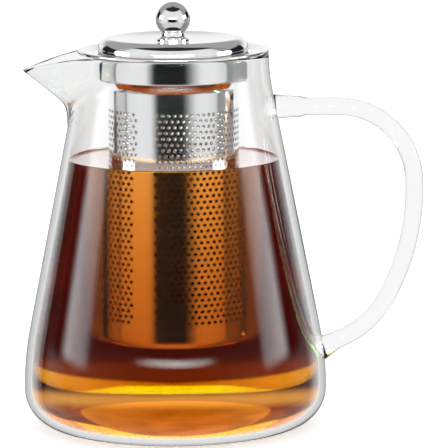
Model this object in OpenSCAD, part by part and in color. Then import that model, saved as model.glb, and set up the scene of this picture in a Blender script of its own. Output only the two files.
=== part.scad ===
// Glass teapot with a perforated steel infuser basket and a ball-knob lid.
// Origin: centre of the ring foot, on the table. +Z up, spout to -X, handle to +X, front to -Y.

/* [Pot body] */
// Height of the glass body, from the foot to the rim
pot_h = 156.2; // [140:0.2:190]
// Largest outer radius, low on the belly
belly_r = 63.1; // [56:0.1:76]
// Radius of the rounded bottom corner, which is also the height of the widest place
corner_r = 15.5; // [12:0.5:20]
// Bend radius of the belly above the corner
belly_bend_r = 130; // [110:5:180]
// Bend radius of the neck, where the cone turns upright
neck_bend_r = 85; // [60:5:120]
// Thickness of the glass wall
glass_t = 2.5; // [2:0.1:3]
// Width of the flat ring that the pot stands on
foot_w = 3; // [2:0.5:5]
// Height of the domed hollow under the pot
punt_h = 6; // [3:0.5:9]

/* [Spout] */
// Reach of the spout's tip beyond the rim
spout_out = 21.6; // [18:0.2:26]
// Depth of the spout below the rim, where its keel leaves the neck
spout_drop = 30; // [24:1:36]
// Height below the rim at which the keel turns outward
keel_drop = 21.6; // [19:0.2:25]
// Steepness of the keel once it has turned outward
keel_slope = 1.28; // [1.1:0.02:1.4]
// Length over which the keel turns
keel_blend = 3; // [2:0.5:4]
// Nose radius at the spout's root
nose_root_r = 9; // [8:0.5:10]
// Nose radius at the tip
nose_tip_r = 4; // [3.5:0.5:5]
// Thickness of the spout's wall
spout_t = 2.2; // [1.8:0.1:2.4]
// Bend radius of the lip seen from the side
lip_bend_r = 119; // [100:1:140]
// Distance inside the rim at which the lip's bend is level
lip_crest_in = 18.9; // [16:0.1:22]
// Distance inside the rim at which the lip falls below it
lip_start_in = 4.7; // [3:0.1:6]

/* [Handle] */
// Radius of the glass rod
rod_r = 3.7; // [3:0.1:4.5]
// Distance of the rod's upper run below the rim
handle_drop = 23; // [18:0.5:30]
// Bend radius of the shoulder
shoulder_r = 32; // [26:0.5:36]
// Turn of the shoulder, in degrees
shoulder_turn = 87.4; // [80:0.2:95]
// Bend radius of the long grip
grip_r = 95; // [80:1:110]
// Turn of the long grip, in degrees
grip_turn = 31.8; // [28:0.2:36]
// Bend radius of the heel
heel_r = 38; // [30:1:44]
// Turn of the heel, in degrees
heel_turn = 34.8; // [30:0.2:38]
// Length of the straight tail from the heel to the wall, with its fused end
tail_l = 10.5; // [9:0.5:20]
// Radius of the fused ends where they meet the wall
weld_r = 5; // [4.6:0.1:6]
// Length of the upper fused end outside the wall
upper_weld_l = 12; // [8:0.5:14]
// Length of the lower fused end outside the wall
lower_weld_l = 6; // [5:0.5:8]

/* [Infuser collar] */
// Height of the flange's turned-down lip
flange_lip = 1.4; // [1.2:0.1:2]
// Fall of the flange from its edge to the collar's mouth
flange_fall = 0.9; // [0.6:0.1:1.2]
// Gap between the collar and the inside of the neck
neck_gap = 4; // [3:0.1:6]
// Depth of the collar below the flange's edge
collar_h = 11.5; // [9:0.5:14]
// Width of the conical step from the collar in to the sleeve
step_w = 6; // [4.5:0.1:8]
// Height of the conical step down to the sleeve
step_h = 4.5; // [3.5:0.5:6]
// Thickness of the collar's sheet
collar_t = 0.7; // [0.6:0.05:0.8]
// Length of the collar's lap inside the sleeve
lap_h = 4; // [3:0.5:5]

/* [Infuser basket] */
// Outer radius of the perforated sleeve
sleeve_r = 27.1; // [22:0.1:33]
// Thickness of the sleeve's sheet
sleeve_t = 0.5; // [0.4:0.05:0.6]
// Height of the basket's bottom above the table
basket_clear = 35.5; // [20:0.5:50]
// Height of the pressed base cup
base_h = 5; // [4.5:0.5:7]
// Corner radius of the base cup
base_corner_r = 3.5; // [2:0.5:4]
// Diameter of one hole
hole_d = 1.5; // [1.2:0.1:1.8]
// Rows of holes up the sleeve
hole_rows = 8; // [4:1:10]
// Holes in each row
hole_columns = 24; // [12:1:30]
// Plain band between the base cup and the lowest row
lower_band = 5.5; // [4:0.5:9]
// Plain band between the highest row and the collar
upper_band = 8.6; // [7:0.2:12]
// Direction of the sleeve's seam, in degrees from +X
seam_angle = 245.6; // [0:0.2:360]
// Width of the plain strip along the seam, in degrees
seam_width = 14.6; // [10:0.2:20]
// Rings of holes in the base
base_rings = 4; // [2:1:4]
// Distance between two rings in the base
ring_step = 5; // [4.5:0.1:5.5]

/* [Lid] */
// Gap all round between the lid's wall and the collar's mouth
lid_gap = 1.2; // [0.6:0.1:1.6]
// Height of the lid's raised ring above the flange's edge
lid_crown = 4.8; // [4:0.1:7]
// Radius of the lid's rounded shoulder
shoulder_round = 4.8; // [3.5:0.1:6]
// Depth of the shallow dish in the lid's top
lid_dish = 1; // [0.5:0.1:1.6]
// Thickness of the lid's sheet
lid_t = 0.7; // [0.6:0.05:0.9]
// Gap between the lid's lower edge and the collar's step
lid_rest_gap = 0.15; // [0.1:0.05:0.3]

/* [Knob] */
// Diameter of the ball
ball_d = 14.3; // [12:0.1:18]
// Radius of the waist under the ball
waist_r = 4.6; // [4.2:0.1:5.2]
// Radius of the flared foot
knob_foot_r = 6.8; // [6:0.1:7.4]
// Height of the flared foot
knob_foot_h = 3.1; // [2.5:0.1:4]
// Diameter of the screw's shank
screw_d = 4; // [3:0.2:5]
// Clearance of the screw in the lid, washer and foot, on the diameter
screw_clear = 0.4; // [0.2:0.1:0.8]
// Length of thread inside the ball
thread_l = 8; // [6:0.5:9]
// Outer radius of the washer
washer_r = 6; // [5:0.5:8]
// Thickness of the washer
washer_t = 1; // [0.8:0.1:1.6]
// Radius of the screw's head
head_r = 3.8; // [3.4:0.1:4.6]
// Height of the screw's head
head_h = 2.4; // [2:0.1:3]

/* [Hidden] */
$fn = 96;

arc_steps = 8;
beyond = 1;
spout_sink = 0.3;
weld_sink = 3;
rod_sides = 20;
glass_tint = [0.93, 0.95, 0.95, 0.35];
steel_tint = [0.78, 0.78, 0.79];

// Radii from the middle outward: the sleeve, the collar round it, and the neck and flange round that.
collar_r = sleeve_r + step_w;
rim_r = collar_r + neck_gap + glass_t;
flange_r = rim_r;

// Pot wall: a corner arc, a belly arc, a straight cone, and a neck arc that ends upright at the rim.
foot_r = belly_r - corner_r;
foot_in_r = foot_r - foot_w;
punt_sphere_r = (foot_in_r * foot_in_r + punt_h * punt_h) / (2 * punt_h);
belly_axis = belly_r - belly_bend_r;
neck_axis = rim_r + neck_bend_r;
arc_offset = [neck_axis - belly_axis, pot_h - corner_r];
cone_lean = atan2(arc_offset[1], arc_offset[0]) - acos((belly_bend_r + neck_bend_r) / norm(arc_offset));
cone_top_z = pot_h - neck_bend_r * sin(cone_lean);
cone_top_r = neck_axis - neck_bend_r * cos(cone_lean);
cone_low_z = corner_r + belly_bend_r * sin(cone_lean);

function arc_points(centre, radius, from, to, steps = arc_steps) =
    [for (i = [0:steps]) let (a = from + (to - from) * i / steps) centre + radius * [cos(a), sin(a)]];

// Outline of the glass from the middle of the bottom to the rim, moved inward by inset.
function pot_outline(inset) = concat(
    arc_points([0, punt_h - punt_sphere_r], punt_sphere_r + inset, 90, 90 - asin(foot_in_r / punt_sphere_r)),
    arc_points([foot_r, corner_r], corner_r - inset, -90, 0),
    arc_points([belly_axis, corner_r], belly_bend_r - inset, 0, cone_lean),
    arc_points([neck_axis, pot_h], neck_bend_r + inset, 180 + cone_lean, 180)
);

// Outer radius of the pot at a height above its rounded corner.
function wall_r(z) =
    z < cone_low_z ? belly_axis + sqrt(pow(belly_bend_r, 2) - pow(z - corner_r, 2))
    : z < cone_top_z ? cone_top_r + (cone_top_z - z) * tan(cone_lean)
    : neck_axis - sqrt(pow(neck_bend_r, 2) - pow(pot_h - z, 2));

module pot_form(inset, top) {
    rotate_extrude()
        polygon(concat(pot_outline(inset), [[rim_r - inset, top], [0, top]]));
}

// Spout: level sections, each a rounded nose joined to the neck by two straight sides.
spout_sections = 12;
nose_steps = 8;
spout_reach = rim_r + spout_out;
spout_root_z = pot_h - spout_drop;
keel_z = pot_h - keel_drop;
keel_root_r = wall_r(spout_root_z);
tip_z = keel_z + (spout_reach - keel_root_r) / keel_slope;
lip_crest = rim_r - lip_crest_in;
lip_axis_z = pot_h - sqrt(pow(lip_bend_r, 2) - pow(lip_crest_in - lip_start_in, 2));

// Distance of the keel from the pot's axis: upright at the root, then straight outward.
function keel_reach(z) = let (rise = keel_slope * (z - keel_z))
    min(spout_reach, keel_root_r + (rise + norm([rise, keel_blend])) / 2);

function nose_r(z) = let (share = min(1, max(0, (z - spout_root_z) / (tip_z - spout_root_z))))
    nose_root_r + (nose_tip_r - nose_root_r) * share;

function spout_section(z, nose_inset, neck_inset) = let (
    nose = nose_r(z) - nose_inset,
    centre_x = keel_reach(z) - nose_r(z),
    neck = wall_r(min(z, pot_h)) - neck_inset,
    swing = acos((neck - nose) / centre_x),
    side = neck * [cos(swing), sin(swing)]
) concat(
    [[-side[0] / 2, side[1] / 2, z], [-side[0], side[1], z]],
    [for (a = [for (i = [0:nose_steps]) swing * (1 - 2 * i / nose_steps)])
        [-centre_x - nose * cos(a), nose * sin(a), z]],
    [[-side[0], -side[1], z], [-side[0] / 2, -side[1] / 2, z]]
);

// A solid skinned over level sections that have the same number of points.
module skin(sections) {
    count = len(sections[0]);
    last = len(sections) - 1;
    polyhedron(
        points = [for (section = sections) for (p = section) p],
        faces = concat(
            [[for (i = [0:count - 1]) i]],
            [for (s = [0:last - 1]) for (i = [0:count - 1])
                [s * count + i, (s + 1) * count + i, s * count + (i + 1) % count]],
            [for (s = [0:last - 1]) for (i = [0:count - 1]) let (j = (i + 1) % count)
                [s * count + j, (s + 1) * count + i, (s + 1) * count + j]],
            [[for (i = [count - 1:-1:0]) last * count + i]]
        )
    );
}

module spout_form(nose_inset, neck_inset, top) {
    step = (top - spout_root_z) / spout_sections;
    skin([for (i = [0:spout_sections]) spout_section(spout_root_z + i * step, nose_inset, neck_inset)]);
}

module spout_outside() {
    intersection() {
        spout_form(0, spout_sink, pot_h);
        translate([-lip_crest, 0, lip_axis_z])
            rotate([90, 0, 0])
                cylinder(h = 2 * belly_r, r = lip_bend_r, center = true, $fn = 180);
    }
}

module pot_body() {
    color(glass_tint)
        difference() {
            union() {
                pot_form(0, pot_h);
                spout_outside();
            }
            pot_form(glass_t, pot_h + beyond);
            spout_form(spout_t, glass_t + spout_sink, pot_h + beyond);
        }
}

// Handle: one bent rod in the plane of the spout. Headings are in degrees above +X.
handle_top_z = pot_h - handle_drop;
upper_wall_r = wall_r(handle_top_z);

function bend_centre(p, heading, radius) = p + radius * [sin(heading), -cos(heading)];
function bend_end(p, heading, radius, turn) =
    bend_centre(p, heading, radius) + radius * [-sin(heading - turn), cos(heading - turn)];

// The rod's bends, laid out from the start of the shoulder.
grip_heading = -shoulder_turn;
heel_heading = grip_heading - grip_turn;
tail_heading = heel_heading - heel_turn;
tail_way = [cos(tail_heading), sin(tail_heading)];
grip_offset = bend_end([0, 0], 0, shoulder_r, shoulder_turn);
heel_offset = bend_end(grip_offset, grip_heading, grip_r, grip_turn);
tail_offset = bend_end(heel_offset, heel_heading, heel_r, heel_turn);
end_offset = tail_offset + tail_l * tail_way;

// The shoulder starts at the distance that brings the tail's end to the wall.
end_z = handle_top_z + end_offset[1];
shoulder_from = [wall_r(end_z) - end_offset[0], handle_top_z];
tail_from = shoulder_from + tail_offset;

// Places along the rod's centreline, each [distance from the axis, height, heading].
function bend_path(p, heading, radius, turn, steps) =
    [for (i = [1:steps]) let (part = turn * i / steps)
        concat(bend_end(p, heading, radius, part), [heading - part])];

rod_path = concat(
    [[upper_wall_r + upper_weld_l, handle_top_z, 0], concat(shoulder_from, [0])],
    bend_path(shoulder_from, 0, shoulder_r, shoulder_turn, 12),
    bend_path(shoulder_from + grip_offset, grip_heading, grip_r, grip_turn, 6),
    bend_path(shoulder_from + heel_offset, heel_heading, heel_r, heel_turn, 6),
    [concat(tail_from + (tail_l - lower_weld_l) * tail_way, [tail_heading])]
);

function rod_ring(place) = [for (i = [0:rod_sides - 1]) let (a = 360 * i / rod_sides)
    [place[0] + rod_r * cos(a) * sin(place[2]), rod_r * sin(a), place[1] - rod_r * cos(a) * cos(place[2])]];

module handle() {
    color(glass_tint)
        skin([for (place = rod_path) rod_ring(place)]);
}

module handle_upper_weld() {
    color(glass_tint)
        difference() {
            translate([upper_wall_r - weld_sink, 0, handle_top_z])
                rotate([0, 90, 0])
                    cylinder(h = weld_sink + upper_weld_l, r1 = weld_r, r2 = rod_r, $fn = 48);
            pot_form(0, pot_h);
        }
}

module handle_lower_weld() {
    color(glass_tint)
        difference() {
            translate([tail_from[0], 0, tail_from[1]])
                rotate([0, 90 - tail_heading, 0])
                    translate([0, 0, tail_l - lower_weld_l])
                        cylinder(h = weld_sink + lower_weld_l, r1 = rod_r, r2 = weld_r, $fn = 48);
            pot_form(0, pot_h);
        }
}

// Infuser: the flange's edge stands on the rim and carries the collar, the sleeve and the base cup.
flange_z = pot_h + flange_lip;
mouth_r = collar_r - collar_t;
mouth_z = flange_z - flange_fall;
step_z = flange_z - collar_h;
sleeve_top_z = step_z - step_h;
sleeve_in_r = sleeve_r - sleeve_t;
sleeve_foot_z = basket_clear + base_h;

module infuser_collar() {
    color(steel_tint)
        rotate_extrude()
            polygon([
                [flange_r, pot_h], [flange_r, flange_z], [flange_r - collar_t, flange_z],
                [mouth_r, mouth_z], [mouth_r, step_z], [sleeve_in_r - collar_t, sleeve_top_z],
                [sleeve_in_r - collar_t, sleeve_top_z - lap_h], [sleeve_in_r, sleeve_top_z - lap_h],
                [sleeve_in_r, sleeve_top_z], [sleeve_r, sleeve_top_z], [collar_r, step_z],
                [collar_r, mouth_z - collar_t], [flange_r - collar_t, flange_z - collar_t],
                [flange_r - collar_t, pot_h]
            ]);
}

row_step = (sleeve_top_z - upper_band - sleeve_foot_z - lower_band) / (hole_rows - 1);
column_step = (360 - seam_width) / (hole_columns + 0.5);

module sleeve_hole(row, column) {
    turn = seam_angle + seam_width / 2 + column_step * (column + 0.5 + (row % 2) / 2);
    rotate(turn)
        translate([sleeve_in_r - beyond, 0, sleeve_foot_z + lower_band + row * row_step])
            rotate([0, 90, 0])
                cylinder(h = sleeve_t + 2 * beyond, d = hole_d, $fn = 24);
}

module infuser_sleeve() {
    color(steel_tint)
        difference() {
            translate([0, 0, sleeve_foot_z])
                cylinder(h = sleeve_top_z - sleeve_foot_z, r = sleeve_r);
            translate([0, 0, sleeve_foot_z - beyond])
                cylinder(h = sleeve_top_z - sleeve_foot_z + 2 * beyond, r = sleeve_in_r);
            for (row = [0:hole_rows - 1])
                for (column = [0:hole_columns - 1])
                    sleeve_hole(row, column);
        }
}

cup_in_r = sleeve_in_r - sleeve_t;
cup_corner = [sleeve_r - base_corner_r, basket_clear + base_corner_r];
cup_corner_in_r = base_corner_r - 2 * sleeve_t;

module infuser_base() {
    color(steel_tint)
        difference() {
            rotate_extrude()
                polygon(concat(
                    [[0, basket_clear]],
                    arc_points(cup_corner, base_corner_r, -90, 0, 6),
                    [[sleeve_r, sleeve_foot_z], [sleeve_in_r, sleeve_foot_z]],
                    [[sleeve_in_r, sleeve_foot_z + lap_h], [cup_in_r, sleeve_foot_z + lap_h]],
                    arc_points(cup_corner, cup_corner_in_r, 0, -90, 6),
                    [[0, cup_corner[1] - cup_corner_in_r]]
                ));
            for (ring = [1:base_rings])
                for (i = [0:6 * ring - 1])
                    rotate(60 * i / ring)
                        translate([ring * ring_step, 0, basket_clear - beyond])
                            cylinder(h = 2 * (sleeve_t + beyond), d = hole_d, $fn = 24);
        }
}

// Lid: a drawn shell. Its wall hangs inside the collar and its edge sits above the conical step.
lid_r = mouth_r - lid_gap;
lid_ring_z = flange_z + lid_crown;
dish_z = lid_ring_z - lid_dish;
seat_r = knob_foot_r + screw_clear;
lid_edge_z = step_z - lid_gap * step_h / (mouth_r - (sleeve_in_r - collar_t)) + lid_rest_gap;
round_axis = [lid_r - shoulder_round, lid_ring_z - shoulder_round];
dish_w = round_axis[0] - seat_r;
dish_bend_r = (dish_w * dish_w + pow(dish_z - round_axis[1], 2) - pow(shoulder_round, 2)) / (2 * lid_dish);
dish_turn = asin(dish_w / (dish_bend_r + shoulder_round));
dish_axis = [seat_r, dish_z + dish_bend_r];

function lid_outline(inset) = concat(
    arc_points(dish_axis, dish_bend_r + inset, -90, -90 + dish_turn),
    arc_points(round_axis, shoulder_round - inset, 90 + dish_turn, 0)
);

function backwards(points) = [for (i = [len(points) - 1:-1:0]) points[i]];

module lid_shell() {
    color(steel_tint)
        rotate_extrude()
            polygon(concat(
                [[screw_hole_r, dish_z]],
                lid_outline(0),
                [[lid_r, lid_edge_z], [lid_r - lid_t, lid_edge_z]],
                backwards(lid_outline(lid_t)),
                [[screw_hole_r, dish_z - lid_t]]
            ));
}

// Knob: a ball on a flared foot, drawn down on the lid by a screw from below.
screw_hole_r = (screw_d + screw_clear) / 2;
ball_r = ball_d / 2;
ball_seat_z = dish_z + knob_foot_h;
ball_z = ball_seat_z + sqrt(ball_r * ball_r - waist_r * waist_r);
foot_edge_h = 0.4;
flare_w = knob_foot_r - waist_r;
flare_h = knob_foot_h - foot_edge_h;
washer_z = dish_z - lid_t - washer_t;
slot_w = 1;
slot_l = 2 * head_r - 2;

module knob_foot() {
    color(steel_tint)
        rotate_extrude()
            polygon(concat(
                [[screw_hole_r, dish_z], [knob_foot_r, dish_z]],
                [for (i = [0:arc_steps]) let (a = 90 * i / arc_steps)
                    [knob_foot_r - flare_w * sin(a), ball_seat_z - flare_h * cos(a)]],
                [[screw_hole_r, ball_seat_z]]
            ));
}

module knob_ball() {
    color(steel_tint)
        difference() {
            translate([0, 0, ball_z])
                sphere(r = ball_r);
            translate([0, 0, ball_seat_z - ball_d])
                cylinder(h = ball_d, r = ball_r + beyond);
            translate([0, 0, ball_seat_z - beyond])
                cylinder(h = thread_l + beyond, d = screw_d);
        }
}

module knob_washer() {
    color(steel_tint)
        difference() {
            translate([0, 0, washer_z])
                cylinder(h = washer_t, r = washer_r);
            translate([0, 0, washer_z - beyond])
                cylinder(h = washer_t + 2 * beyond, r = screw_hole_r);
        }
}

module knob_screw() {
    color(steel_tint)
        difference() {
            union() {
                translate([0, 0, washer_z - head_h])
                    cylinder(h = head_h, r = head_r);
                translate([0, 0, washer_z - head_h / 2])
                    cylinder(h = head_h / 2 + ball_seat_z + thread_l - washer_z, d = screw_d);
            }
            for (turn = [0, 90])
                rotate(turn)
                    translate([-slot_l / 2, -slot_w / 2, washer_z - head_h - beyond])
                        cube([slot_l, slot_w, head_h / 2 + beyond]);
        }
}

pot_body();
handle();
handle_upper_weld();
handle_lower_weld();
infuser_collar();
infuser_sleeve();
infuser_base();
lid_shell();
knob_foot();
knob_ball();
knob_washer();
knob_screw();
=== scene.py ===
import math

import bpy
from mathutils import Matrix, Vector


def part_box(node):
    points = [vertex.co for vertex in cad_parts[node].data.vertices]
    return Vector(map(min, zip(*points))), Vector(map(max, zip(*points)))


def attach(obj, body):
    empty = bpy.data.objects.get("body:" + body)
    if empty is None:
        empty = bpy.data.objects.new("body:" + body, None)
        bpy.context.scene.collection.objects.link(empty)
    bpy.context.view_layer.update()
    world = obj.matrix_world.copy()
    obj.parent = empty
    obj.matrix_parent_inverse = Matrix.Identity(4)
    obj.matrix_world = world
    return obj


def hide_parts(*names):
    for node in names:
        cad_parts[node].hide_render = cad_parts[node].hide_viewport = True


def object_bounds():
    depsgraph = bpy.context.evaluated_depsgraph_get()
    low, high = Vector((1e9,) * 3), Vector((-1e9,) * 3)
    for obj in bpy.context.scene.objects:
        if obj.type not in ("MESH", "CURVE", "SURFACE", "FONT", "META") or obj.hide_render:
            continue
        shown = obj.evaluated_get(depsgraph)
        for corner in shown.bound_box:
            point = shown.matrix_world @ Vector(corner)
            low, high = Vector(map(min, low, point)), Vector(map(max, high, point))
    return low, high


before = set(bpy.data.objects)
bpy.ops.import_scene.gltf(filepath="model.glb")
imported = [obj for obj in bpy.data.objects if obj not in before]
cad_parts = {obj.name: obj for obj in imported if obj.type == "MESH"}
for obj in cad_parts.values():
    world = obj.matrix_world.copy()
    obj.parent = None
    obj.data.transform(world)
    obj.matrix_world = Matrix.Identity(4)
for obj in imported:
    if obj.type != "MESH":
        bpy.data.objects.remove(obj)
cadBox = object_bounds()
scene = bpy.context.scene

# camera, floor and light

cameraSet = {"place": (0.0, -1.650, 0.3406), "target": (0.0207, 0.0, 0.0840), "lens": 321.9, "roll": -0.3}


def addCamera(size):
    camera = bpy.data.objects.new("camera", bpy.data.cameras.new("camera"))
    camera.data.lens = size["lens"]
    camera.data.clip_end = 20
    scene.collection.objects.link(camera)
    look = (Vector(size["target"]) - Vector(size["place"])).to_track_quat("-Z", "Y").to_matrix().to_4x4()
    roll = Matrix.Rotation(math.radians(size["roll"]), 4, "Z")
    camera.matrix_world = Matrix.Translation(size["place"]) @ look @ roll
    scene.camera = camera


# angles in degrees; azimuth 0 is the front, plus is the handle's side, and "Away" is azimuth without its sign
studio = {
    "backdrop": (1.0, 1.0, 1.0), "beside": (0.72, 0.72, 0.73), "besideFrom": 0.9, "besideTo": 0.3,
    "throughWall": 0.94, "throughPot": 0.87,
    # the window in front, the ceiling, the dark flag and the wall behind
    "windowHalf": 100, "windowTop": 54, "ceilingLight": 0.03, "ceilingEnd": 98,
    "flagAzimuth": (-34, 29), "flagSoft": (9, 16), "flagHeight": (-44, 2), "flagLight": 0.01,
    "backLowTop": 14, "backHigh": 0.42,
    "backUnder": 0.12, "underAway": (130, 150), "underHeight": (-3, 1),
    "sideStops": [
        (-131, 1.0), (-128, 0.04), (-119, 0.05), (-117, 0.62), (-96, 0.7), (-90, 0.25), (-88, 0.9), (-62, 1.0),
        (-24, 0.95), (18, 0.95), (60, 1.0), (80, 0.8), (84, 0.3), (104, 0.42), (128, 0.36), (132, 1.0),
    ],
    # two lamps: a tall strip on the handle's side and a small soft one in front
    "stripAzimuth": (74, 99), "stripHeight": (1, 17), "stripLight": 6.0,
    "spotAzimuth": (2, 36), "spotHeight": (6.8, 8.6), "spotLight": 90.0,
    # what the inside of the glass mirrors
    "insideGlass": 0.8, "insideFront": 0.02, "facingAway": (125, 145), "facingHeight": (-14, 24),
    "beyondAway": (102, 140), "beyondHeight": (0, 24),
    # the tea's level surface and the basket in the tea
    "teaTopLight": 1.7, "teaTopAway": (140, 160), "teaTopHeight": (0, 3),
    "basketLight": (2.0, 1.35, 0.9), "basketSides": 0.4, "basketAway": (95, 125),
    # light seen through the tea near the foot
    "teaFar": (4.8, 9.0, 1.0), "crescent": (8.0, 44.0, 6.0), "crescentEnds": (7.0, 24.0, 1.0),
    "crescentAway": (163, 174), "crescentEdge": (-3.4, -0.8), "crescentCurve": 0.024,
    "crescentCorner": (3.0, 2.4, 1.4), "cornerHeight": (5, 12),
    "steepGlow": (3.6, 6.0, 4.0), "steepHeight": (-32, -24),
    "puntGlow": (3.0, 6.5, 2.0), "puntAway": (148, 160), "puntHeight": (3, 7),
}


class Wires:      # short ways to make and join shader nodes
    def __init__(self, tree):
        self.nodes, self.links = tree.nodes, tree.links

    def put(self, value, socket):
        if isinstance(value, bpy.types.NodeSocket):
            self.links.new(value, socket)
        elif isinstance(value, tuple):
            socket.default_value = (*value, 1)
        else:
            socket.default_value = value

    def sum(self, kind, a, b=0.0):
        node = self.nodes.new("ShaderNodeMath")
        node.operation = kind
        self.put(a, node.inputs[0])
        self.put(b, node.inputs[1])
        return node.outputs[0]

    def product(self, first, *others):
        for other in others:
            first = self.sum("MULTIPLY", first, other)
        return first

    def less(self, value):      # 1 minus the value
        return self.sum("SUBTRACT", 1, value)

    def ease(self, value, start, end):      # 0 before start and 1 after end, smoothly
        node = self.nodes.new("ShaderNodeMapRange")
        node.interpolation_type = "SMOOTHSTEP"
        self.put(value, node.inputs["Value"])
        node.inputs["From Min"].default_value = start
        node.inputs["From Max"].default_value = end
        return node.outputs["Result"]

    def within(self, value, low, high, soft, softHigh=None):
        softHigh = softHigh or soft
        return self.product(self.ease(value, low - soft, low + soft),
                            self.less(self.ease(value, high - softHigh, high + softHigh)))

    def mix(self, share, a, b):
        node = self.nodes.new("ShaderNodeMix")
        node.data_type = "FLOAT"
        self.put(share, node.inputs[0])
        self.put(a, node.inputs[2])
        self.put(b, node.inputs[3])
        return node.outputs[0]

    def mixColour(self, share, a, b):
        node = self.nodes.new("ShaderNodeMix")
        node.data_type = "RGBA"
        self.put(share, node.inputs[0])
        self.put(a, node.inputs[6])
        self.put(b, node.inputs[7])
        return node.outputs[2]

    def times(self, colour, value):
        node = self.nodes.new("ShaderNodeVectorMath")
        node.operation = "SCALE"
        if isinstance(colour, tuple):
            node.inputs[0].default_value = colour
        else:
            self.put(colour, node.inputs[0])
        self.put(value, node.inputs["Scale"])
        return node.outputs[0]


def addStudio(size):
    world = bpy.data.worlds.new("studio")
    scene.world = world
    world.use_nodes = True
    nodes, links = world.node_tree.nodes, world.node_tree.links
    nodes.clear()
    w = Wires(world.node_tree)
    split = nodes.new("ShaderNodeSeparateXYZ")
    links.new(nodes.new("ShaderNodeTexCoord").outputs["Generated"], split.inputs[0])
    x, y, z = split.outputs
    azimuth = w.sum("DEGREES", w.sum("ARCTAN2", x, w.sum("MULTIPLY", y, -1)))
    elevation = w.sum("DEGREES", w.sum("ARCSINE", z))
    away = w.sum("ABSOLUTE", azimuth)

    # what steel and the outside of the glass mirror
    ramp = nodes.new("ShaderNodeValToRGB")
    links.new(w.sum("ADD", w.sum("DIVIDE", azimuth, 360), 0.5), ramp.inputs[0])
    stops = ramp.color_ramp.elements
    for i, (angle, light) in enumerate(size["sideStops"]):
        stop = stops[i] if i < 2 else stops.new(1)
        stop.position = angle / 360 + 0.5
        stop.color = (light, light, light, 1)
    front = w.less(w.ease(away, size["windowHalf"] - 4, size["windowHalf"] + 4))
    frontHigh = w.ease(elevation, size["windowTop"] - 3, size["windowTop"] + 3)
    backHigh = w.ease(elevation, size["backLowTop"] - 6, size["backLowTop"] + 10)
    topDark = w.ease(elevation, 180 - size["ceilingEnd"] - 8, 90)
    high = w.mix(front, w.mix(topDark, size["backHigh"], size["ceilingLight"]), size["ceilingLight"])
    light = w.mix(w.mix(front, backHigh, frontHigh), ramp.outputs[0], high)
    flag = w.product(w.within(azimuth, *size["flagAzimuth"], *size["flagSoft"]),
                     w.within(elevation, *size["flagHeight"], 4))
    light = w.mix(flag, light, size["flagLight"])

    # several passes through glass and tea are told apart by how many surfaces the ray has crossed
    path = nodes.new("ShaderNodeLightPath")
    bounces, passes = path.outputs["Glossy Depth"], path.outputs["Transmission Depth"]
    mirrored = w.sum("GREATER_THAN", bounces, 0.5)
    once = w.sum("LESS_THAN", bounces, 1.5)
    inAir = w.sum("LESS_THAN", passes, 0.5)
    inWall = w.product(w.sum("GREATER_THAN", passes, 0.5), w.sum("LESS_THAN", passes, 3.5))
    inPot = w.sum("GREATER_THAN", passes, 3.5)
    inTea = w.sum("GREATER_THAN", passes, 5.5)
    under = w.product(w.ease(away, *size["underAway"]), w.less(w.ease(elevation, *size["underHeight"])))
    light = w.mix(w.product(inAir, under), light, size["backUnder"])
    beyond = w.product(w.within(away, *size["beyondAway"], 3), w.within(elevation, *size["beyondHeight"], 2))
    light = w.mix(w.product(w.less(inTea), beyond), light, size["insideFront"])
    facing = w.product(once, w.less(w.ease(away, *size["facingAway"])), w.within(elevation, *size["facingHeight"], 5))
    light = w.mix(inWall, light, w.mix(facing, size["insideGlass"], size["insideFront"]))
    strip = w.product(w.within(away, *size["stripAzimuth"], 4), w.within(elevation, *size["stripHeight"], 2))
    light = w.mix(strip, light, size["stripLight"])
    echoes = w.product(w.sum("SUBTRACT", inPot, inTea), w.sum("GREATER_THAN", bounces, 2.5))
    light = w.mix(echoes, light, size["insideGlass"])
    spot = w.product(w.less(w.ease(away, *size["spotAzimuth"])), w.within(elevation, *size["spotHeight"], 1.3))
    light = w.mix(w.product(spot, w.less(inPot)), light, size["spotLight"])
    teaTop = w.product(inPot, w.ease(away, *size["teaTopAway"]), w.ease(elevation, *size["teaTopHeight"]))
    light = w.product(light, w.mix(teaTop, 1, size["teaTopLight"]))
    basketBack = w.product(inTea, w.ease(away, *size["basketAway"]))
    light = w.product(light, w.mix(basketBack, 1, size["basketSides"]))

    # colours reflected inside the tea
    bounced = w.mixColour(inTea, light, w.times(size["basketLight"], light))
    punt = w.product(inTea, w.sum("LESS_THAN", passes, 6.5),
                     w.ease(away, *size["puntAway"]), w.ease(elevation, *size["puntHeight"]))
    bounced = w.mixColour(punt, bounced, size["puntGlow"])
    often = w.product(inTea, w.sum("GREATER_THAN", bounces, 1.5))
    steep = w.product(often, w.less(w.ease(elevation, *size["steepHeight"])))
    bounced = w.mixColour(steep, bounced, size["steepGlow"])
    corner = w.product(often, w.ease(elevation, *size["cornerHeight"]))
    bounced = w.mixColour(corner, bounced, size["crescentCorner"])

    # what is seen straight through
    beside = w.mixColour(w.ease(y, size["besideTo"], size["besideFrom"]), size["beside"], size["backdrop"])
    crescent = w.mixColour(w.ease(away, *size["crescentAway"]), size["crescentEnds"], size["crescent"])
    sag = w.product(w.sum("POWER", w.sum("SUBTRACT", 180, away), 2), size["crescentCurve"])
    edge = w.ease(w.sum("SUBTRACT", elevation, sag), *size["crescentEdge"])
    crescent = w.mixColour(edge, size["teaFar"], crescent)
    # clear glass takes a little of the light
    dimmed = w.times(beside, w.mix(inPot, w.mix(inWall, 1, size["throughWall"]), size["throughPot"]))
    seen = w.mixColour(inTea, dimmed, crescent)

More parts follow.
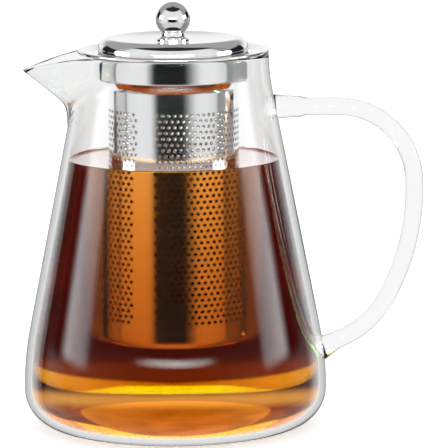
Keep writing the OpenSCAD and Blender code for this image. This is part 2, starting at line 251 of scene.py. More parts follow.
    background = nodes.new("ShaderNodeBackground")
    links.new(w.mixColour(mirrored, seen, bounced), background.inputs["Color"])
    out = nodes.new("ShaderNodeOutputWorld")
    links.new(background.outputs[0], out.inputs["Surface"])
    scene.view_settings.view_transform = "Standard"
    scene.cycles.max_bounces = 24
    scene.cycles.transmission_bounces = 24
    scene.cycles.glossy_bounces = 10
    scene.cycles.diffuse_bounces = 3


floorSet = {
    "size": 4.0, "white": (0.9, 0.9, 0.9), "glow": 0.6,
    "throughWall": (0.94, 0.94, 0.94), "throughPot": (0.87, 0.87, 0.87),
    # seen through the tea the floor emits painted shade, a painted warm tint and a painted glow
    "paintedShadeUnderTea": (0.26, 0.03, 0.01), "behindTea": (0.95, 0.75, 0.5), "paintedGlowFarUnderTea": (4.6, 9.0, 1.0),
    "farSteep": (0.01, 0.055), "nearSteep": (0.15, 0.27), "asideShare": -0.13,
}


def addFloor(size):
    deselectAll()
    bpy.ops.mesh.primitive_plane_add(size=size["size"], location=(0, 0, cadBox[0][2]))
    floor = bpy.context.object
    floor.name = "floor"
    material, nodes, links, shader = newMaterial("floorWhite")
    w = Wires(material.node_tree)
    shader.inputs["Base Color"].default_value = (*size["white"], 1)
    shader.inputs["Roughness"].default_value = 1
    shader.inputs["Specular IOR Level"].default_value = 0
    shader.inputs["Emission Color"].default_value = (1, 1, 1, 1)
    shader.inputs["Emission Strength"].default_value = size["glow"]
    path = nodes.new("ShaderNodeLightPath")
    split = nodes.new("ShaderNodeSeparateXYZ")
    links.new(nodes.new("ShaderNodeNewGeometry").outputs["Incoming"], split.inputs[0])
    dark = nodes.new("ShaderNodeEmission")      # painted shade and glow: seen through the tea the floor is darker, less so far behind, with a painted glow furthest off
    steep = split.outputs[2]
    aside = w.product(w.sum("ABSOLUTE", split.outputs[0]), size["asideShare"])
    near = w.mixColour(w.ease(steep, *size["nearSteep"]), size["behindTea"], size["paintedShadeUnderTea"])
    tea = w.mixColour(w.ease(w.sum("ADD", steep, aside), *size["farSteep"]), size["paintedGlowFarUnderTea"], near)
    passes = path.outputs["Transmission Depth"]
    glass = w.mixColour(w.sum("GREATER_THAN", passes, 3.5), size["throughWall"], size["throughPot"])
    links.new(w.mixColour(w.sum("GREATER_THAN", passes, 5.5), glass, tea), dark.inputs["Color"])
    under = nodes.new("ShaderNodeMixShader")
    links.new(w.sum("GREATER_THAN", passes, 0.5), under.inputs[0])
    links.new(shader.outputs[0], under.inputs[1])
    links.new(dark.outputs[0], under.inputs[2])
    clear = nodes.new("ShaderNodeBsdfTransparent")      # reflections look past the floor to the studio
    either = nodes.new("ShaderNodeMixShader")
    links.new(path.outputs["Glossy Depth"], either.inputs[0])
    links.new(under.outputs[0], either.inputs[1])
    links.new(clear.outputs[0], either.inputs[2])
    links.new(either.outputs[0], nodes["Material Output"].inputs["Surface"])
    floor.data.materials.append(material)


# small helpers

def deselectAll():
    if bpy.context.object and bpy.context.object.mode != "OBJECT":
        bpy.ops.object.mode_set(mode="OBJECT")
    bpy.ops.object.select_all(action="DESELECT")


def pick(*pieces):
    deselectAll()
    for piece in pieces:
        piece.select_set(True)
    bpy.context.view_layer.objects.active = pieces[0]


def selectVertices(piece, test):      # leaves the piece in edit mode with those vertices selected
    pick(piece)
    bpy.ops.object.mode_set(mode="EDIT")
    bpy.ops.mesh.select_mode(type="VERT")
    bpy.ops.mesh.select_all(action="DESELECT")
    bpy.ops.object.mode_set(mode="OBJECT")
    for vertex in piece.data.vertices:
        vertex.select = test(vertex.co)
    bpy.ops.object.mode_set(mode="EDIT")


def arc(centre, radius, start, end, steps=8):
    angles = [math.radians(start + (end - start) * i / steps) for i in range(steps + 1)]
    return [(centre[0] + radius * math.cos(a), centre[1] + radius * math.sin(a)) for a in angles]


def rounded(corners, steps=5):      # corners are (distance from the axis, height, rounding)
    outline = []
    for i, (x, z, radius) in enumerate(corners):
        here = Vector((x, z))
        if radius == 0:
            outline.append((x, z))
            continue
        before = (Vector(corners[i - 1][:2]) - here).normalized()
        after = (Vector(corners[(i + 1) % len(corners)][:2]) - here).normalized()
        half = before.angle(after) / 2
        centre = here + (before + after).normalized() * radius / math.sin(half)
        first = here + before * radius / math.tan(half) - centre
        last = here + after * radius / math.tan(half) - centre
        start = math.atan2(first.y, first.x)
        turn = math.atan2(last.y, last.x) - start
        turn = (turn + math.pi) % (2 * math.pi) - math.pi
        for k in range(steps + 1):
            angle = start + turn * k / steps
            outline.append((centre.x + radius * math.cos(angle), centre.y + radius * math.sin(angle)))
    return outline


def spun(name, outline, steps=128, closed=True, smooth=35):
    points = outline + outline[:1] if closed else outline
    deselectAll()
    bpy.ops.mesh.primitive_plane_add(size=0.001, location=(points[0][0], 0, points[0][1]))
    piece = bpy.context.object
    piece.name = name
    bpy.ops.object.transform_apply(location=True, rotation=True, scale=True)
    bpy.ops.object.mode_set(mode="EDIT")
    bpy.ops.mesh.select_mode(type="VERT")
    bpy.ops.mesh.select_all(action="SELECT")
    bpy.ops.mesh.merge(type="CENTER")
    for here, there in zip(points, points[1:]):
        step = (there[0] - here[0], 0, there[1] - here[1])
        bpy.ops.mesh.extrude_region_move(TRANSFORM_OT_translate={"value": step})
    bpy.ops.mesh.select_all(action="SELECT")
    bpy.ops.mesh.remove_doubles(threshold=1e-6)
    bpy.ops.mesh.select_all(action="SELECT")
    bpy.ops.mesh.spin(steps=steps, angle=2 * math.pi, center=(0, 0, 0), axis=(0, 0, 1))
    bpy.ops.mesh.select_all(action="SELECT")
    bpy.ops.mesh.remove_doubles(threshold=2e-6)
    bpy.ops.mesh.normals_make_consistent(inside=False)
    bpy.ops.object.mode_set(mode="OBJECT")
    bpy.ops.object.shade_smooth_by_angle(angle=math.radians(smooth))
    return piece


def newMaterial(name):
    material = bpy.data.materials.new(name)
    material.use_nodes = True
    nodes = material.node_tree.nodes
    return material, nodes, material.node_tree.links, nodes["Principled BSDF"]


def dress(piece, material, slot, body, *stands):
    piece.data.materials.clear()
    piece.data.materials.append(material)
    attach(piece, body)
    if stands:
        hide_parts(*stands)


def refinish(name, material):      # a piece kept as it came, with this scene's own finish
    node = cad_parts[name]
    node.data.materials.clear()
    node.data.materials.append(material)


# materials

def polishMarksGroup():      # fine polishing lines and faint smears, as a roughness and a height
    group = bpy.data.node_groups.new("polishMarks", "ShaderNodeTree")
    for name, kind, value in (
        ("Vector", "NodeSocketVector", None), ("Base", "NodeSocketFloat", 0.06), ("Spread", "NodeSocketFloat", 0.04),
        ("Line Scale", "NodeSocketFloat", 900.0), ("Smear Scale", "NodeSocketFloat", 45.0),
    ):
        socket = group.interface.new_socket(name, in_out="INPUT", socket_type=kind)
        if value is not None:
            socket.default_value = value
    group.interface.new_socket("Roughness", in_out="OUTPUT", socket_type="NodeSocketFloat")
    group.interface.new_socket("Height", in_out="OUTPUT", socket_type="NodeSocketFloat")
    nodes, links = group.nodes, group.links
    inside, outside = nodes.new("NodeGroupInput"), nodes.new("NodeGroupOutput")
    stretch = nodes.new("ShaderNodeVectorMath")
    stretch.operation = "MULTIPLY"
    stretch.inputs[1].default_value = (0.06, 0.06, 1.0)      # lines run round the axis
    links.new(inside.outputs["Vector"], stretch.inputs[0])
    lines = nodes.new("ShaderNodeTexNoise")
    links.new(stretch.outputs[0], lines.inputs["Vector"])
    links.new(inside.outputs["Line Scale"], lines.inputs["Scale"])
    lines.inputs["Detail"].default_value = 3
    smear = nodes.new("ShaderNodeTexNoise")
    links.new(inside.outputs["Vector"], smear.inputs["Vector"])
    links.new(inside.outputs["Smear Scale"], smear.inputs["Scale"])
    smear.inputs["Detail"].default_value = 4
    both = nodes.new("ShaderNodeMath")
    both.operation = "MULTIPLY"
    links.new(lines.outputs["Fac"], both.inputs[0])
    links.new(smear.outputs["Fac"], both.inputs[1])
    spread = nodes.new("ShaderNodeMath")
    spread.operation = "MULTIPLY_ADD"
    links.new(both.outputs[0], spread.inputs[0])
    links.new(inside.outputs["Spread"], spread.inputs[1])
    links.new(inside.outputs["Base"], spread.inputs[2])
    links.new(spread.outputs[0], outside.inputs["Roughness"])
    links.new(lines.outputs["Fac"], outside.inputs["Height"])
    return group


def paintedGlowPoolGroup():      # painted glow: amber light painted into the tea at the foot of the pot, in flat wavy streaks, with a painted glowing band
    group = bpy.data.node_groups.new("paintedGlowPool", "ShaderNodeTree")
    for name, kind, value in (
        ("Vector", "NodeSocketVector", None),
        ("Top", "NodeSocketFloat", 0.021), ("Full", "NodeSocketFloat", 0.009),
        # painted light and painted shade of the glow's wavy streaks
        ("Light", "NodeSocketColor", (0.28, 0.085, 0.012, 1)),
        ("Shade", "NodeSocketColor", (0.08, 0.015, 0.002, 1)),
        ("Band Height", "NodeSocketFloat", 0.0120), ("Band Half Width", "NodeSocketFloat", 0.0036),
        ("Band Tilt", "NodeSocketFloat", 0.155), ("Painted Glow Band Color", "NodeSocketColor", (0.56, 0.27, 0.045, 1)),
    ):
        socket = group.interface.new_socket(name, in_out="INPUT", socket_type=kind)
        if value is not None:
            socket.default_value = value
    group.interface.new_socket("Color", in_out="OUTPUT", socket_type="NodeSocketColor")
    nodes, links = group.nodes, group.links
    inside, outside = nodes.new("NodeGroupInput"), nodes.new("NodeGroupOutput")
    w = Wires(group)
    stretch = nodes.new("ShaderNodeVectorMath")
    stretch.operation = "MULTIPLY"
    stretch.inputs[1].default_value = (1, 1, 7)
    links.new(inside.outputs["Vector"], stretch.inputs[0])
    streaks = nodes.new("ShaderNodeTexNoise")
    streaks.inputs["Scale"].default_value = 55
    streaks.inputs["Detail"].default_value = 3
    links.new(stretch.outputs[0], streaks.inputs["Vector"])
    split = nodes.new("ShaderNodeSeparateXYZ")
    links.new(inside.outputs["Vector"], split.inputs[0])
    height = nodes.new("ShaderNodeMapRange")
    height.interpolation_type = "SMOOTHSTEP"
    links.new(split.outputs[2], height.inputs["Value"])
    links.new(inside.outputs["Full"], height.inputs["From Min"])
    links.new(inside.outputs["Top"], height.inputs["From Max"])
    height.inputs["To Min"].default_value = 1
    height.inputs["To Max"].default_value = 0
    tone = w.mixColour(w.ease(streaks.outputs["Fac"], 0.35, 0.65), inside.outputs["Shade"], inside.outputs["Light"])
    # the painted glow band lies in a plane tilted towards the front
    tilted = w.sum("ADD", split.outputs[2], w.product(split.outputs[1], inside.outputs["Band Tilt"]))
    off = w.sum("ABSOLUTE", w.sum("SUBTRACT", tilted, inside.outputs["Band Height"]))
    share = w.less(w.ease(w.sum("DIVIDE", off, inside.outputs["Band Half Width"]), 0.1, 1.3))
    share = w.product(share, w.mix(streaks.outputs["Fac"], 0.72, 1.2))
    pooled = w.mixColour(height.outputs["Result"], (0.0, 0.0, 0.0), tone)
    links.new(w.mixColour(share, pooled, inside.outputs["Painted Glow Band Color"]), outside.inputs["Color"])
    return group


def steelMaterial(name, size):
    material, nodes, links, shader = newMaterial(name)
    shader.inputs["Base Color"].default_value = (*size["colour"], 1)
    shader.inputs["Metallic"].default_value = 1
    marks = nodes.new("ShaderNodeGroup")
    marks.node_tree = polishMarks
    place = nodes.new("ShaderNodeTexCoord")
    links.new(place.outputs["Object"], marks.inputs["Vector"])
    marks.inputs["Base"].default_value = size["roughness"]
    marks.inputs["Spread"].default_value = size["spread"]
    links.new(marks.outputs["Roughness"], shader.inputs["Roughness"])
    bump = nodes.new("ShaderNodeBump")
    bump.inputs["Strength"].default_value = size["bump"]
    bump.inputs["Distance"].default_value = 0.00002
    links.new(marks.outputs["Height"], bump.inputs["Height"])
    links.new(bump.outputs[0], shader.inputs["Normal"])
    return material


def glassMaterial(size):
    material, nodes, links, shader = newMaterial("clearGlass")
    shader.inputs["Base Color"].default_value = (*size["colour"], 1)
    shader.inputs["Transmission Weight"].default_value = 1
    shader.inputs["IOR"].default_value = size["ior"]
    shader.inputs["Specular Tint"].default_value = (*[size["mirror"]] * 3, 1)
    place = nodes.new("ShaderNodeTexCoord")
    smears = nodes.new("ShaderNodeTexNoise")
    smears.inputs["Scale"].default_value = 22
    links.new(place.outputs["Object"], smears.inputs["Vector"])
    haze = nodes.new("ShaderNodeMapRange")
    haze.inputs["From Min"].default_value = 0.55
    haze.inputs["From Max"].default_value = 0.85
    haze.inputs["To Max"].default_value = size["haze"]
    links.new(smears.outputs["Fac"], haze.inputs["Value"])
    links.new(haze.outputs["Result"], shader.inputs["Roughness"])
    waver = nodes.new("ShaderNodeTexNoise")
    waver.inputs["Scale"].default_value = 14
    waver.inputs["Detail"].default_value = 0
    links.new(place.outputs["Object"], waver.inputs["Vector"])
    bump = nodes.new("ShaderNodeBump")
    bump.inputs["Strength"].default_value = 0.35
    bump.inputs["Distance"].default_value = size["waver"]
    links.new(waver.outputs["Fac"], bump.inputs["Height"])
    links.new(bump.outputs[0], shader.inputs["Normal"])
    return material


def teaMaterial(size):
    material, nodes, links, shader = newMaterial("tea")
    shader.inputs["Base Color"].default_value = (1, 1, 1, 1)
    shader.inputs["Roughness"].default_value = 0
    shader.inputs["Transmission Weight"].default_value = 1
    shader.inputs["IOR"].default_value = size["ior"]
    shader.inputs["Specular Tint"].default_value = (*[size["mirror"]] * 3, 1)
    place = nodes.new("ShaderNodeTexCoord")
    pool = nodes.new("ShaderNodeGroup")
    pool.node_tree = paintedGlowPool
    links.new(place.outputs["Object"], pool.inputs["Vector"])
    # the tea's surface emits the painted glow: a painted pool of amber light low down and a painted band
    links.new(pool.outputs["Color"], shader.inputs["Emission Color"])
    shader.inputs["Emission Strength"].default_value = size["pool"]
    depth = nodes.new("ShaderNodeVolumeAbsorption")
    depth.inputs["Color"].default_value = (*size["colour"], 1)
    depth.inputs["Density"].default_value = size["density"]
    links.new(depth.outputs[0], nodes["Material Output"].inputs["Volume"])
    return material


polishMarks = polishMarksGroup()
paintedGlowPool = paintedGlowPoolGroup()
mirrorSteel = steelMaterial("mirrorSteel", {
    "colour": (0.80, 0.80, 0.81), "roughness": 0.035, "spread": 0.06, "bump": 0.12})
sheetSteel = steelMaterial("sheetSteel", {
    "colour": (0.78, 0.78, 0.79), "roughness": 0.09, "spread": 0.12, "bump": 0.25})
screwSteel = steelMaterial("screwSteel", {
    "colour": (0.66, 0.66, 0.67), "roughness": 0.24, "spread": 0.2, "bump": 0.5})
clearGlass = glassMaterial({
    "colour": (0.995, 1.0, 0.998), "ior": 1.46, "haze": 0.02, "waver": 0.00002, "mirror": 0.12})
# pool sets the strength of the tea's painted glow
teaBrown = teaMaterial({
    "colour": (0.82, 0.64, 0.20), "density": 100, "ior": 1.33, "mirror": 0.12, "pool": 1.0})
print("materials made")

addCamera(cameraSet)
addStudio(studio)
addFloor(floorSet)
print("camera, studio and floor made")

# glass pot

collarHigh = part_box("infuser_collar")[1]
potLow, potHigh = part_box("pot_body")
sleeveLow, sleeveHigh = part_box("infuser_sleeve")
rimRadius = collarHigh[0]
bellyRadius = potHigh[1]
potHeight = potHigh[2]

potShape = {
    "corner": 0.0155, "bellyBend": 0.130, "neckBend": 0.085, "wall": 0.0025,
    "footWidth": 0.003, "puntHeight": 0.0065, "steps": 288, "coneRow": 0.0012, "coneMargin": 0.003,
}
spoutShape = {
    "reach": -potLow[0], "drop": 0.030, "keelDrop": 0.0216, "slope": 1.28, "blend": 0.003,
    "noseRoot": 0.009, "noseTip": 0.004, "wall": 0.0022,
    "lipBend": 0.119, "lipCrestIn": 0.0189, "lipStartIn": 0.0047,
    "gatherAngle": 75, "gather": 0.45,
}

bellyAxis = bellyRadius - potShape["bellyBend"]
neckAxis = rimRadius + potShape["neckBend"]
between = Vector((neckAxis - bellyAxis, potHeight - potShape["corner"]))
lean = math.atan2(between.y, between.x) - math.acos(
    (potShape["bellyBend"] + potShape["neckBend"]) / between.length)


def wallRadius(z):      # outer radius of the pot above its rounded corner
    bellyBend, neckBend = potShape["bellyBend"], potShape["neckBend"]
    coneTop = potHeight - neckBend * math.sin(lean)
    if z < potShape["corner"] + bellyBend * math.sin(lean):
        return bellyAxis + math.sqrt(bellyBend ** 2 - (z - potShape["corner"]) ** 2)
    if z < coneTop:
        return neckAxis - neckBend * math.cos(lean) + (coneTop - z) * math.tan(lean)
    return neckAxis - math.sqrt(neckBend ** 2 - (potHeight - min(z, potHeight)) ** 2)


def potOutline(inset):      # from the middle of the bottom up to the rim
    corner, foot = potShape["corner"], bellyRadius - potShape["corner"]
    footIn = foot - potShape["footWidth"]
    punt = potShape["puntHeight"]
    dome = (footIn ** 2 + punt ** 2) / (2 * punt)
    leanDegrees = math.degrees(lean)
    # rows close together where the spout will be pulled out
    coneStart = potHeight - spoutShape["drop"] - potShape["coneMargin"]
    coneEnd = potHeight - (potShape["neckBend"] + inset) * math.sin(lean)
    count = round((coneEnd - coneStart) / potShape["coneRow"])
    coneRows = [coneStart + (coneEnd - coneStart) * i / count for i in range(count)]
    return (
        arc((0, punt - dome), dome + inset, 90, 90 - math.degrees(math.asin(footIn / dome)) * 0.97, 14)
        + arc((foot, corner), corner - inset, -90, 0, 14)
        + arc((bellyAxis, corner), potShape["bellyBend"] - inset, 0, leanDegrees, 12)[1:]
        + [(wallRadius(z) - inset / math.cos(lean), z) for z in coneRows]
        + arc((neckAxis, potHeight), potShape["neckBend"] + inset, 180 + leanDegrees, 180, 14)
    )


def spoutRadius(angle, z, inset):      # distance from the axis to the glass, at an angle from the spout
    s = spoutShape
    root, keel = potHeight - s["drop"], potHeight - s["keelDrop"]
    rootRadius = wallRadius(root)
    rise = s["slope"] * (z - keel)
    reach = min(s["reach"], rootRadius + (rise + math.hypot(rise, s["blend"])) / 2)
    tip = keel + (s["reach"] - rootRadius) / s["slope"]
    share = min(1, max(0, (z - root) / (tip - root)))
    nose = s["noseRoot"] + (s["noseTip"] - s["noseRoot"]) * share
    centre = reach - nose
    nose -= inset * s["wall"] / potShape["wall"]
    neck = wallRadius(z) - inset
    if centre <= neck - nose:
        return neck
    swing = math.acos((neck - nose) / centre)
    if angle >= swing:
        return neck
    touch = math.atan2(nose * math.sin(swing), centre + nose * math.cos(swing))
    if angle > touch:
        return neck / math.cos(swing - angle)
    return centre * math.cos(angle) + math.sqrt(max(0, nose ** 2 - (centre * math.sin(angle)) ** 2))


def lipHeight(angle):      # height of the rim at an angle from the spout
    s = spoutShape
    crest = rimRadius - s["lipCrestIn"]
    axisZ = potHeight - math.sqrt(s["lipBend"] ** 2 - (s["lipCrestIn"] - s["lipStartIn"]) ** 2)
    height = potHeight
    for turn in range(6):
        out = max(0, spoutRadius(angle, height, 0) * math.cos(angle) - crest)
        height = min(potHeight, axisZ + math.sqrt(s["lipBend"] ** 2 - out ** 2))
    return height


def pullSpout(piece):      # draws the neck out into the pouring lip
    s = spoutShape
    root = potHeight - s["drop"]
    limit = math.radians(s["gatherAngle"])
    lips = {}
    for vertex in piece.data.vertices:
        radius = math.hypot(vertex.co.x, vertex.co.y)
        angle = math.atan2(vertex.co.y, -vertex.co.x)
        if radius < 0.02:
            continue
        if abs(angle) < limit:
            angle *= s["gather"] + (1 - s["gather"]) * (angle / limit) ** 2
        z = vertex.co.z
        if z > root:
            key = round(abs(angle), 5)
            if key not in lips:
                lips[key] = lipHeight(abs(angle))
            depth = wallRadius(z) - radius
            z = root + (z - root) * (lips[key] - root) / (potHeight - root)
            share = depth / potShape["wall"]
            outer = spoutRadius(abs(angle), z, 0)
            inner = spoutRadius(abs(angle), z, potShape["wall"])
            radius = outer + (inner - outer) * share
        vertex.co = (-radius * math.cos(angle), radius * math.sin(angle), z)
    piece.data.update()


def makePotGlass():
    wall = potShape["wall"]
    outer = potOutline(0)
    inner = potOutline(wall)
    rim = arc((rimRadius - wall / 2, potHeight - wall / 2), wall / 2, 0, 180, 8)
    lower = [p for p in outer if p[1] < potHeight - wall / 2]
    lowerIn = [p for p in inner if p[1] < potHeight - wall / 2]
    return spun("potGlass", lower + rim + lowerIn[::-1], potShape["steps"], closed=False, smooth=60)


potGlass = makePotGlass()
pullSpout(potGlass)
print("pot glass spun, spout pulled", len(potGlass.data.vertices))

# handle, bent from one rod and melted into the pot

handleShape = {
    "rod": 0.0037, "drop": 0.023, "shoulder": 0.032, "shoulderTurn": 87.4, "grip": 0.095, "gripTurn": 31.8,
    "heel": 0.038, "heelTurn": 34.8, "tail": 0.0105, "sides": 28,
    "flare": [(-0.0014, 1.40), (0.001, 1.34), (0.003, 1.30), (0.007, 1.22), (0.0105, 1.16), (0.0118, 1.04),
              (0.0124, 1.0)],
    "tailFlare": [(0.0062, 1.0), (0.0045, 1.06), (0.0025, 1.16), (0.0, 1.30), (-0.0016, 1.38)],
}


def makeHandle(size):
    rod = size["rod"]
    height = potHeight - size["drop"]
    wallX = wallRadius(height)
    deselectAll()
    start, scale = size["flare"][0]
    bpy.ops.mesh.primitive_circle_add(
        vertices=size["sides"], radius=rod * scale, fill_type="NOTHING",
        location=(wallX + start, 0, height), rotation=(0, math.pi / 2, 0))
    piece = bpy.context.object
    piece.name = "handleRod"
    bpy.ops.object.transform_apply(location=True, rotation=True, scale=True)
    bpy.ops.object.mode_set(mode="EDIT")
    bpy.ops.mesh.select_mode(type="VERT")
    bpy.ops.mesh.select_all(action="SELECT")
    here = Vector((wallX + start, 0, height))

    def onward(step, grow=1.0):
        nonlocal here
        bpy.ops.mesh.extrude_region_move(TRANSFORM_OT_translate={"value": step})
        here = here + Vector(step)
        if grow != 1.0:
            bpy.ops.transform.resize(value=(grow, grow, grow), center_override=here)

    for (distance, width), (further, narrower) in zip(size["flare"], size["flare"][1:]):
        onward((further - distance, 0, 0), narrower / width)

    turns = ((size["shoulder"], size["shoulderTurn"], 22), (size["grip"], size["gripTurn"], 14),
             (size["heel"], size["heelTurn"], 12))
    # find how far the shoulder starts from the axis, so that the tail ends on the wall
    heading, offset = 0.0, Vector((0, 0, 0))
    for radius, turn, _ in turns:
        after = heading + math.radians(turn)
        offset += Vector((radius * (math.sin(after) - math.sin(heading)), 0,
                          radius * (math.cos(after) - math.cos(heading))))
        heading = after
    tailWay = Vector((math.cos(heading), 0, -math.sin(heading)))
    end = offset + size["tail"] * tailWay
    shoulderX = wallRadius(height + end.z) - end.x
    run = shoulderX - here.x
    for i in range(3):
        onward((run / 3, 0, 0))

    heading = 0.0
    for radius, turn, steps in turns:
        centre = here + radius * Vector((-math.sin(heading), 0, -math.cos(heading)))
        bpy.ops.mesh.spin(steps=steps, angle=-math.radians(turn), center=centre, axis=(0, 1, 0))
        after = heading + math.radians(turn)
        here = centre + radius * Vector((math.sin(after), 0, math.cos(after)))
        heading = after
    left, width = size["tail"], 1.0
    for distance, wide in size["tailFlare"]:
        onward(tuple(tailWay * (left - distance)), wide / width)
        left, width = distance, wide
    bpy.ops.object.mode_set(mode="OBJECT")
    bpy.ops.object.mode_set(mode="EDIT")
    bpy.ops.mesh.select_all(action="SELECT")
    bpy.ops.mesh.remove_doubles(threshold=1e-6)
    bpy.ops.mesh.select_all(action="DESELECT")
    bpy.ops.mesh.select_mode(type="EDGE")
    bpy.ops.mesh.select_non_manifold()
    bpy.ops.mesh.edge_face_add()
    bpy.ops.mesh.select_all(action="SELECT")
    bpy.ops.mesh.fill_holes(sides=0)
    bpy.ops.mesh.normals_make_consistent(inside=False)
    bpy.ops.object.mode_set(mode="OBJECT")
    bpy.ops.object.shade_smooth_by_angle(angle=math.radians(50))
    return piece


handleRod = makeHandle(handleShape)


def melt(piece, other):
    pick(piece)
    join = piece.modifiers.new("melt", "BOOLEAN")
    join.operation = "UNION"
    join.object = other
    join.solver = "EXACT"
    bpy.ops.object.modifier_apply(modifier=join.name)
    bpy.data.objects.remove(other, do_unlink=True)
    bpy.ops.object.shade_smooth_by_angle(angle=math.radians(50))


melt(potGlass, handleRod)
dress(potGlass, clearGlass, "glass", "pot", "pot_body", "handle", "handle_upper_weld", "handle_lower_weld")
print("handle melted on", len(potGlass.data.polygons))

# tea

teaShape = {"level": 0.1116, "gap": 0.0005, "meniscus": 0.0009}


def makeTea(size):
    inset = potShape["wall"] + size["gap"]
    outline = [p for p in potOutline(inset) if p[1] < size["level"] - 0.004]
    top = size["level"]
    edge = wallRadius(top) - inset / math.cos(lean)
    outline += [
        (wallRadius(top - 0.002) - inset / math.cos(lean), top - 0.002),
        (edge + 0.0001, top + size["meniscus"]), (edge - 0.0006, top + size["meniscus"] * 0.5),
        (edge - 0.0018, top + size["meniscus"] * 0.12), (edge - 0.004, top), (edge - 0.02, top), (0, top),
    ]
    return spun("tea", outline, 144, closed=False, smooth=40)


tea = makeTea(teaShape)
dress(tea, teaBrown, None, "pot")
print("tea poured")

# infuser collar

collarShape = {"sheet": 0.0007, "fall": 0.0009, "stepWidth": 0.006, "height": 0.0115, "lap": 0.004, "round": 0.0006}


def makeCollar(size):
    sheet, low = size["sheet"], sleeveHigh[2]
    flangeTop = collarHigh[2]
    sleeveOut = sleeveHigh[0]
    sleeveIn = sleeveOut - sleeveShape["sheet"]
    collarOut = sleeveOut + size["stepWidth"]
    mouth = collarOut - sheet
    stepTop = flangeTop - size["height"]
    corners = [
        (rimRadius, potHeight, 0.0003), (rimRadius, flangeTop, size["round"]),
        (mouth, flangeTop - size["fall"], size["round"]), (mouth, stepTop, 0.0012),
        (sleeveIn - sheet, low, 0.0008), (sleeveIn - sheet, low - size["lap"], 0.0002),
        (sleeveIn, low - size["lap"], 0.0002), (sleeveIn, low, 0),
        (sleeveOut, low, 0.0002), (collarOut, stepTop, 0.0015),
        (collarOut, flangeTop - size["fall"] - sheet, 0.0005),
        (rimRadius - sheet, flangeTop - sheet, 0.0002), (rimRadius - sheet, potHeight, 0.0003),
    ]
    return spun("infuserCollar", rounded(corners), 192)


# perforated sleeve, drawn flat and rolled round

sleeveShape = {"sheet": 0.0005, "hole": 0.00076, "columns": 67, "rows": 37, "rowStep": 0.0024,
               "lowestRow": 0.0465, "seamAngle": 24.4, "seamWidth": 14.6, "seamRows": 4, "holeSides": 12}


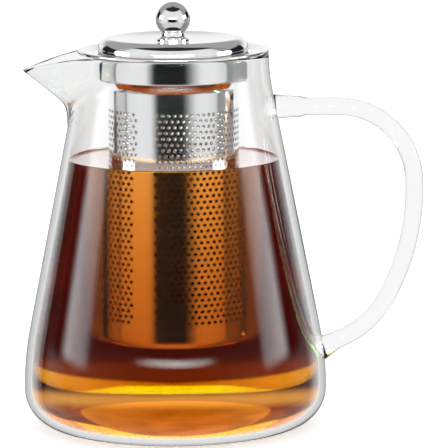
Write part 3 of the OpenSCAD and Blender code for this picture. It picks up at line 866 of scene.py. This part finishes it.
def makeSleeve(size):
    radius = sleeveHigh[0]
    low, high = sleeveLow[2], sleeveHigh[2]
    seam = radius * math.radians(size["seamWidth"])
    pitch = (2 * math.pi * radius - seam) / (size["columns"] + 0.5)
    step = size["rowStep"]
    # one cell: a round hole bridged to a square border
    deselectAll()
    bpy.ops.mesh.primitive_plane_add(size=1, location=(pitch / 2, 0, size["lowestRow"]), rotation=(math.pi / 2, 0, 0))
    cell = bpy.context.object
    cell.name = "infuserSleeve"
    cell.scale = (pitch, step, 1)
    bpy.ops.object.transform_apply(location=True, rotation=True, scale=True)
    bpy.ops.object.mode_set(mode="EDIT")
    bpy.ops.mesh.select_all(action="SELECT")
    bpy.ops.mesh.delete(type="ONLY_FACE")
    bpy.ops.mesh.select_all(action="SELECT")
    bpy.ops.mesh.subdivide(number_cuts=1)
    bpy.ops.mesh.primitive_circle_add(
        vertices=size["holeSides"], radius=size["hole"], fill_type="NOTHING",
        location=(pitch / 2, 0, size["lowestRow"]), rotation=(math.pi / 2, 0, 0))
    bpy.ops.mesh.select_all(action="SELECT")
    bpy.ops.mesh.bridge_edge_loops()
    bpy.ops.object.mode_set(mode="OBJECT")

    def repeat(piece, count, offset):
        pick(piece)
        array = piece.modifiers.new("repeat", "ARRAY")
        array.use_relative_offset = False
        array.use_constant_offset = True
        array.constant_offset_displace = offset
        array.count = count
        array.use_merge_vertices = True
        array.merge_threshold = 1e-6
        bpy.ops.object.modifier_apply(modifier=array.name)

    def pullEdge(piece, test, step, axis, place):      # extrudes a straight border and squares it up
        selectVertices(piece, test)
        bpy.ops.mesh.select_mode(type="EDGE")
        bpy.ops.mesh.extrude_region_move(TRANSFORM_OT_translate={"value": step})
        bpy.ops.object.mode_set(mode="OBJECT")
        for vertex in piece.data.vertices:
            if vertex.select:
                vertex.co[axis] = place

    repeat(cell, size["columns"], (pitch, 0, 0))
    width = pitch * size["columns"]
    pullEdge(cell, lambda co: co.x > width - 1e-6, (pitch / 2, 0, 0), 0, width + pitch / 2)
    pick(cell)
    bpy.ops.object.duplicate()
    other = bpy.context.object
    for vertex in other.data.vertices:      # the next row is the same one, turned end for end
        vertex.co.x = width + pitch / 2 - vertex.co.x
        vertex.co.z += step
    other.data.flip_normals()
    repeat(cell, (size["rows"] + 1) // 2, (0, 0, 2 * step))
    repeat(other, size["rows"] // 2, (0, 0, 2 * step))
    pick(cell, other)
    bpy.ops.object.join()
    bpy.ops.object.mode_set(mode="EDIT")
    bpy.ops.mesh.select_all(action="SELECT")
    bpy.ops.mesh.remove_doubles(threshold=1e-6)
    bpy.ops.object.mode_set(mode="OBJECT")
    bottom = size["lowestRow"] - step / 2
    top = bottom + step * size["rows"]
    right = width + pitch / 2
    pullEdge(cell, lambda co: co.z > top - 1e-6, (0, 0, high - top), 2, high)
    pullEdge(cell, lambda co: co.z < bottom + 1e-6, (0, 0, low - bottom), 2, low)
    strip = seam / size["seamRows"]
    for i in range(size["seamRows"]):
        edge = right + strip * i
        pullEdge(cell, lambda co: co.x > edge - 1e-6, (strip, 0, 0), 0, edge + strip)
    # roll it round, starting at the seam's edge
    start = math.radians(270 - size["seamAngle"] + size["seamWidth"] / 2)
    for vertex in cell.data.vertices:
        angle = start + vertex.co.x / radius
        vertex.co = (radius * math.cos(angle), radius * math.sin(angle), vertex.co.z)
    selectVertices(cell, lambda co: True)
    bpy.ops.mesh.remove_doubles(threshold=5e-6)
    bpy.ops.mesh.select_all(action="SELECT")
    bpy.ops.mesh.normals_make_consistent(inside=False)
    bpy.ops.object.mode_set(mode="OBJECT")
    outward = sum(p.normal.x * p.center.x + p.normal.y * p.center.y for p in cell.data.polygons)
    if outward < 0:
        cell.data.flip_normals()
    pick(cell)
    solid = cell.modifiers.new("sheet", "SOLIDIFY")
    solid.thickness = size["sheet"]
    solid.offset = -1
    bpy.ops.object.modifier_apply(modifier=solid.name)
    bpy.ops.object.shade_smooth_by_angle(angle=math.radians(30))
    return cell


infuserCollar = makeCollar(collarShape)
dress(infuserCollar, mirrorSteel, "polished_steel", "infuser", "infuser_collar")
infuserSleeve = makeSleeve(sleeveShape)
dress(infuserSleeve, sheetSteel, "perforated_steel", "infuser", "infuser_sleeve")
print("sleeve rolled", len(infuserSleeve.data.polygons))
refinish("infuser_base", sheetSteel)

# lid

lidLow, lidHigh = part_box("lid_shell")
lidShape = {"sheet": 0.0007, "shoulder": 0.0048, "dish": 0.001, "seat": 0.0072, "hole": 0.0022}


def makeLid(size):
    radius, top, low = lidHigh[0], lidHigh[2], lidLow[2]
    dishZ = top - size["dish"]
    centre = (radius - size["shoulder"], top - size["shoulder"])
    width = centre[0] - size["seat"]
    drop = dishZ - centre[1]
    bend = (width ** 2 + drop ** 2 - size["shoulder"] ** 2) / (2 * size["dish"])
    turn = math.degrees(math.asin(width / (bend + size["shoulder"])))

    def face(inset):
        return (arc((size["seat"], dishZ + bend), bend + inset, -90, -90 + turn, 10)
                + arc(centre, size["shoulder"] - inset, 90 + turn, 0, 14))

    edge = size["sheet"] / 2
    rim = arc((radius - edge, low + edge), edge, 0, -180, 6)
    outline = ([(size["hole"], dishZ)] + face(0) + rim + face(size["sheet"])[::-1]
               + [(size["hole"], dishZ - size["sheet"])])
    return spun("lidShell", outline, 192)


lidShell = makeLid(lidShape)
dress(lidShell, mirrorSteel, "polished_steel", "lid", "lid_shell")

# knob

footLow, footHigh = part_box("knob_foot")
ballLow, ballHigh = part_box("knob_ball")
knobShape = {"waist": 0.0046, "edge": 0.0004, "hole": 0.0022, "bore": 0.002, "thread": 0.008}


def makeFoot(size):
    wide, low, high = footHigh[0], footLow[2], footHigh[2]
    flare = [(wide - (wide - size["waist"]) * math.sin(a), high - (high - low - size["edge"]) * math.cos(a))
             for a in [math.radians(90 * i / 12) for i in range(13)]]
    outline = [(size["hole"], low), (wide - 0.0001, low), (wide, low + 0.0001)] + flare + [(size["hole"], high)]
    return spun("knobFoot", outline, 96)


def makeBall(size):
    radius, low, high = ballHigh[0], ballLow[2], ballHigh[2]
    middle = high - radius
    start = math.degrees(math.asin((low - middle) / radius))
    outline = [(0, low + size["thread"]), (size["bore"], low + size["thread"]), (size["bore"], low)]
    return spun("knobBall", outline + arc((0, middle), radius, start, 90, 32), 96, closed=False)


knobFoot = makeFoot(knobShape)
dress(knobFoot, mirrorSteel, "polished_steel", "lid", "knob_foot")
knobBall = makeBall(knobShape)
dress(knobBall, mirrorSteel, "polished_steel", "lid", "knob_ball")
for name in ("knob_washer", "knob_screw"):
    refinish(name, screwSteel)
print("lid and knob made")
